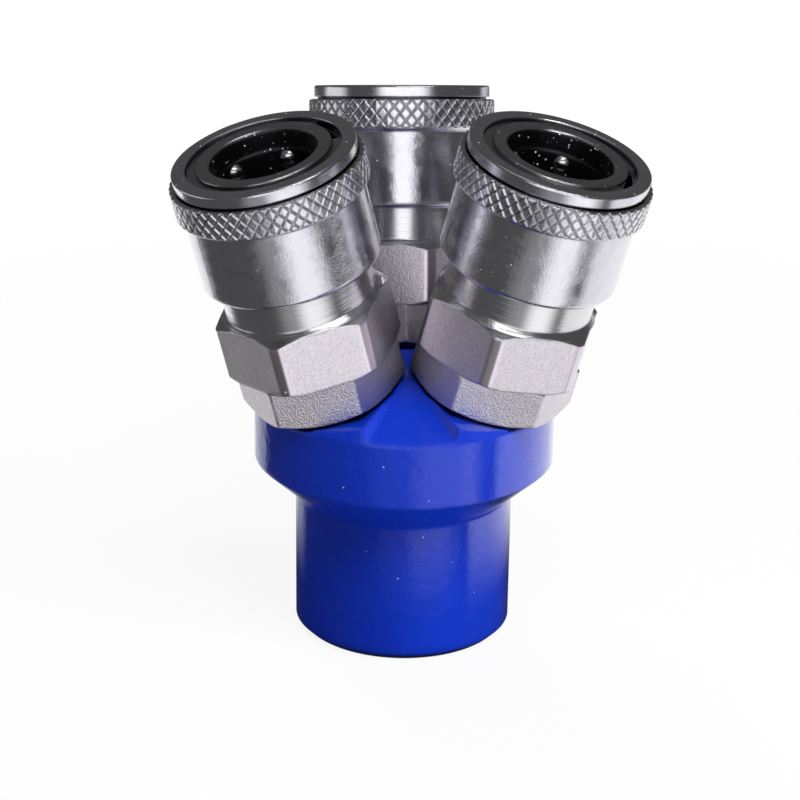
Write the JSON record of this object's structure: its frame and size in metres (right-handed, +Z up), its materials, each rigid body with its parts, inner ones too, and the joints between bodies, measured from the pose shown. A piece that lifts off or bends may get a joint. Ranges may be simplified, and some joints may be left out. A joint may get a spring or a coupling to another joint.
{
  "type": "three-way air manifold",
  "caption": "Painted air manifold: a round threaded inlet boss below a wider head, from which ball-lock quick-coupler sockets with knurled sliding sleeves lean outwards.",
  "frame": {"origin": "centre of the bottom face of the inlet boss", "axes": "+Z up along the boss's axis; one coupler leans towards +Y, the other two to either side of -Y"},
  "size_m": [0.0644, 0.0594, 0.0768],
  "materials": {
    "blue_enamel": "gloss",
    "nickel_hex": "satin, blasted",
    "bright_sleeve": "bright nickel plate",
    "ball_steel": "polished",
    "spring_steel": "drawn wire",
    "seal_rubber": "matte",
    "valve_brass": "turned"
  },
  "bodies": {
    "root": {"manifold_body": "blue_enamel", "rear_adapter": "nickel_hex", "rear_socket_body": "nickel_hex", "rear_retaining_ring": "spring_steel", "rear_sleeve_spring": "spring_steel", "rear_packing": "seal_rubber", "rear_joint_seal": "seal_rubber", "rear_valve_spring": "spring_steel", "left_adapter": "nickel_hex", "left_socket_body": "nickel_hex", "left_retaining_ring": "spring_steel", "left_sleeve_spring": "spring_steel", "left_packing": "seal_rubber", "left_joint_seal": "seal_rubber", "left_valve_spring": "spring_steel", "right_adapter": "nickel_hex", "right_socket_body": "nickel_hex", "right_retaining_ring": "spring_steel", "right_sleeve_spring": "spring_steel", "right_packing": "seal_rubber", "right_joint_seal": "seal_rubber", "right_valve_spring": "spring_steel"},
    "rear_sleeve": {"rear_sleeve": "bright_sleeve"},
    "rear_valve": {"rear_valve": "valve_brass", "rear_valve_seal": "seal_rubber"},
    "rear_ball_1": {"rear_ball_1": "ball_steel"},
    "rear_ball_2": {"rear_ball_2": "ball_steel"},
    "rear_ball_3": {"rear_ball_3": "ball_steel"},
    "rear_ball_4": {"rear_ball_4": "ball_steel"},
    "rear_ball_5": {"rear_ball_5": "ball_steel"},
    "rear_ball_6": {"rear_ball_6": "ball_steel"},
    "left_sleeve": {"left_sleeve": "bright_sleeve"},
    "left_valve": {"left_valve": "valve_brass", "left_valve_seal": "seal_rubber"},
    "left_ball_1": {"left_ball_1": "ball_steel"},
    "left_ball_2": {"left_ball_2": "ball_steel"},
    "left_ball_3": {"left_ball_3": "ball_steel"},
    "left_ball_4": {"left_ball_4": "ball_steel"},
    "left_ball_5": {"left_ball_5": "ball_steel"},
    "left_ball_6": {"left_ball_6": "ball_steel"},
    "right_sleeve": {"right_sleeve": "bright_sleeve"},
    "right_valve": {"right_valve": "valve_brass", "right_valve_seal": "seal_rubber"},
    "right_ball_1": {"right_ball_1": "ball_steel"},
    "right_ball_2": {"right_ball_2": "ball_steel"},
    "right_ball_3": {"right_ball_3": "ball_steel"},
    "right_ball_4": {"right_ball_4": "ball_steel"},
    "right_ball_5": {"right_ball_5": "ball_steel"},
    "right_ball_6": {"right_ball_6": "ball_steel"}
  },
  "joints": [
    {"name": "rear_sleeve_slide", "type": "slide", "parent": "root", "child": "rear_sleeve", "axis": [0, -0.2656, -0.9641], "range_m": [0, 0.0033], "stiffness_N_per_m": 1500, "springref_m": -0.004, "deforming": ["rear_sleeve_spring"]},
    {"name": "rear_valve_slide", "type": "slide", "parent": "root", "child": "rear_valve", "axis": [0, -0.2656, -0.9641], "range_m": [0, 0.004], "stiffness_N_per_m": 2000, "springref_m": -0.003, "deforming": ["rear_valve_spring"]},
    {"name": "rear_ball_1_slide", "type": "slide", "parent": "root", "child": "rear_ball_1", "axis": [-0.2924, 0.922, -0.254], "range_m": [0, 0.00087]},
    {"name": "rear_ball_2_slide", "type": "slide", "parent": "root", "child": "rear_ball_2", "axis": [-0.9744, 0.2169, -0.0597], "range_m": [0, 0.00087]},
    {"name": "rear_ball_3_slide", "type": "slide", "parent": "root", "child": "rear_ball_3", "axis": [-0.682, -0.7051, 0.1942], "range_m": [0, 0.00087]},
    {"name": "rear_ball_4_slide", "type": "slide", "parent": "root", "child": "rear_ball_4", "axis": [0.2924, -0.922, 0.254], "range_m": [0, 0.00087]},
    {"name": "rear_ball_5_slide", "type": "slide", "parent": "root", "child": "rear_ball_5", "axis": [0.9744, -0.2169, 0.0597], "range_m": [0, 0.00087]},
    {"name": "rear_ball_6_slide", "type": "slide", "parent": "root", "child": "rear_ball_6", "axis": [0.682, 0.7051, -0.1942], "range_m": [0, 0.00087]},
    {"name": "left_sleeve_slide", "type": "slide", "parent": "root", "child": "left_sleeve", "axis": [0.23, 0.1328, -0.9641], "range_m": [0, 0.0033], "stiffness_N_per_m": 1500, "springref_m": -0.004, "deforming": ["left_sleeve_spring"]},
    {"name": "left_valve_slide", "type": "slide", "parent": "root", "child": "left_valve", "axis": [0.23, 0.1328, -0.9641], "range_m": [0, 0.004], "stiffness_N_per_m": 2000, "springref_m": -0.003, "deforming": ["left_valve_spring"]},
    {"name": "left_ball_1_slide", "type": "slide", "parent": "root", "child": "left_ball_1", "axis": [-0.3134, -0.9278, -0.2025], "range_m": [0, 0.00087]},
    {"name": "left_ball_2_slide", "type": "slide", "parent": "root", "child": "left_ball_2", "axis": [0.6412, -0.7659, 0.0475], "range_m": [0, 0.00087]},
    {"name": "left_ball_3_slide", "type": "slide", "parent": "root", "child": "left_ball_3", "axis": [0.9546, 0.1619, 0.25], "range_m": [0, 0.00087]},
    {"name": "left_ball_4_slide", "type": "slide", "parent": "root", "child": "left_ball_4", "axis": [0.3134, 0.9278, 0.2025], "range_m": [0, 0.00087]},
    {"name": "left_ball_5_slide", "type": "slide", "parent": "root", "child": "left_ball_5", "axis": [-0.6412, 0.7659, -0.0475], "range_m": [0, 0.00087]},
    {"name": "left_ball_6_slide", "type": "slide", "parent": "root", "child": "left_ball_6", "axis": [-0.9546, -0.1619, -0.25], "range_m": [0, 0.00087]},
    {"name": "right_sleeve_slide", "type": "slide", "parent": "root", "child": "right_sleeve", "axis": [-0.23, 0.1328, -0.9641], "range_m": [0, 0.0033], "stiffness_N_per_m": 1500, "springref_m": -0.004, "deforming": ["right_sleeve_spring"]},
    {"name": "right_valve_slide", "type": "slide", "parent": "root", "child": "right_valve", "axis": [-0.23, 0.1328, -0.9641], "range_m": [0, 0.004], "stiffness_N_per_m": 2000, "springref_m": -0.003, "deforming": ["right_valve_spring"]},
    {"name": "right_ball_1_slide", "type": "slide", "parent": "root", "child": "right_ball_1", "axis": [0.9401, 0.2865, -0.1848], "range_m": [0, 0.00087]},
    {"name": "right_ball_2_slide", "type": "slide", "parent": "root", "child": "right_ball_2", "axis": [0.2521, 0.965, 0.0728], "range_m": [0, 0.00087]},
    {"name": "right_ball_3_slide", "type": "slide", "parent": "root", "child": "right_ball_3", "axis": [-0.688, 0.6785, 0.2576], "range_m": [0, 0.00087]},
    {"name": "right_ball_4_slide", "type": "slide", "parent": "root", "child": "right_ball_4", "axis": [-0.9401, -0.2865, 0.1848], "range_m": [0, 0.00087]},
    {"name": "right_ball_5_slide", "type": "slide", "parent": "root", "child": "right_ball_5", "axis": [-0.2521, -0.965, -0.0728], "range_m": [0, 0.00087]},
    {"name": "right_ball_6_slide", "type": "slide", "parent": "root", "child": "right_ball_6", "axis": [0.688, -0.6785, -0.2576], "range_m": [0, 0.00087]}
  ],
  "couplings": [
    {"joint": "rear_ball_1_slide", "follows": "rear_sleeve_slide", "ratio": 0.2636},
    {"joint": "rear_ball_2_slide", "follows": "rear_sleeve_slide", "ratio": 0.2636},
    {"joint": "rear_ball_3_slide", "follows": "rear_sleeve_slide", "ratio": 0.2636},
    {"joint": "rear_ball_4_slide", "follows": "rear_sleeve_slide", "ratio": 0.2636},
    {"joint": "rear_ball_5_slide", "follows": "rear_sleeve_slide", "ratio": 0.2636},
    {"joint": "rear_ball_6_slide", "follows": "rear_sleeve_slide", "ratio": 0.2636},
    {"joint": "left_ball_1_slide", "follows": "left_sleeve_slide", "ratio": 0.2636},
    {"joint": "left_ball_2_slide", "follows": "left_sleeve_slide", "ratio": 0.2636},
    {"joint": "left_ball_3_slide", "follows": "left_sleeve_slide", "ratio": 0.2636},
    {"joint": "left_ball_4_slide", "follows": "left_sleeve_slide", "ratio": 0.2636},
    {"joint": "left_ball_5_slide", "follows": "left_sleeve_slide", "ratio": 0.2636},
    {"joint": "left_ball_6_slide", "follows": "left_sleeve_slide", "ratio": 0.2636},
    {"joint": "right_ball_1_slide", "follows": "right_sleeve_slide", "ratio": 0.2636},
    {"joint": "right_ball_2_slide", "follows": "right_sleeve_slide", "ratio": 0.2636},
    {"joint": "right_ball_3_slide", "follows": "right_sleeve_slide", "ratio": 0.2636},
    {"joint": "right_ball_4_slide", "follows": "right_sleeve_slide", "ratio": 0.2636},
    {"joint": "right_ball_5_slide", "follows": "right_sleeve_slide", "ratio": 0.2636},
    {"joint": "right_ball_6_slide", "follows": "right_sleeve_slide", "ratio": 0.2636}
  ]
}
